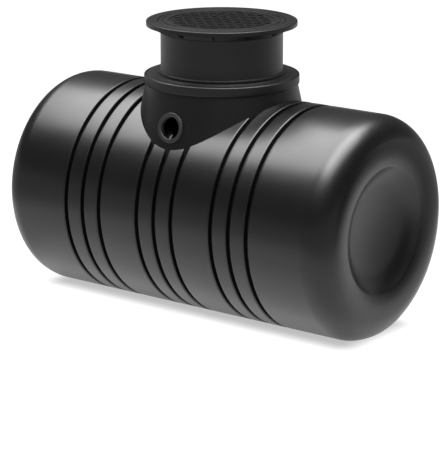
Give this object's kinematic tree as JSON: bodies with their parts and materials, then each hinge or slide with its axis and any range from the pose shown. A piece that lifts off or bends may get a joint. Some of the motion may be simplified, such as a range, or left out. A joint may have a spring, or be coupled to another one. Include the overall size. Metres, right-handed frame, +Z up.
{
  "type": "underground water tank",
  "caption": "Lying round plastic water tank with grooved barrel, cone neck with side pipe ports, and a telescopic access shaft with a lift-off lid.",
  "frame": {"origin": "centre of the flat sole, on the ground", "axes": "+X along the tank's length, +Z up through the neck and shaft"},
  "size_m": [2.076, 1.15, 1.5098],
  "materials": {
    "tank_shell": "moulded black polyethylene with a soft sheen",
    "neck_wall": "moulded black polyethylene, duller than the barrel",
    "shaft_plastic": "black plastic pipe, faint sheen",
    "cover_plastic": "black moulded plastic with a fine grain",
    "port_rubber": "grey-black sealing rubber",
    "shaft_rubber": "black sealing rubber",
    "screw_steel": "dull stainless steel"
  },
  "bodies": {
    "tank": {"left_end": "tank_shell", "right_end": "tank_shell", "barrel_left": "tank_shell", "barrel_right": "tank_shell", "barrel_centre": "tank_shell", "neck_front": "neck_wall", "neck_rear": "neck_wall", "neck_left": "neck_wall", "neck_right": "neck_wall", "neck_collar": "neck_wall", "front_port_seal": "port_rubber", "rear_port_seal": "port_rubber", "shaft_flange": "shaft_plastic", "riser_tube": "shaft_plastic", "riser_seal": "shaft_rubber"},
    "telescope": {"telescope_tube": "shaft_plastic", "cover_frame": "cover_plastic", "lid_gasket": "shaft_rubber"},
    "lid": {"lid": "cover_plastic", "lid_screw_left": "screw_steel", "lid_screw_right": "screw_steel"}
  },
  "joints": [
    {"name": "shaft_slide", "type": "slide", "parent": "tank", "child": "telescope", "axis": [0, 0, 1], "range_m": [0, 0.15]},
    {"name": "lid_lift", "type": "slide", "parent": "telescope", "child": "lid", "axis": [0, 0, 1], "range_m": [0, 0.25]}
  ]
}
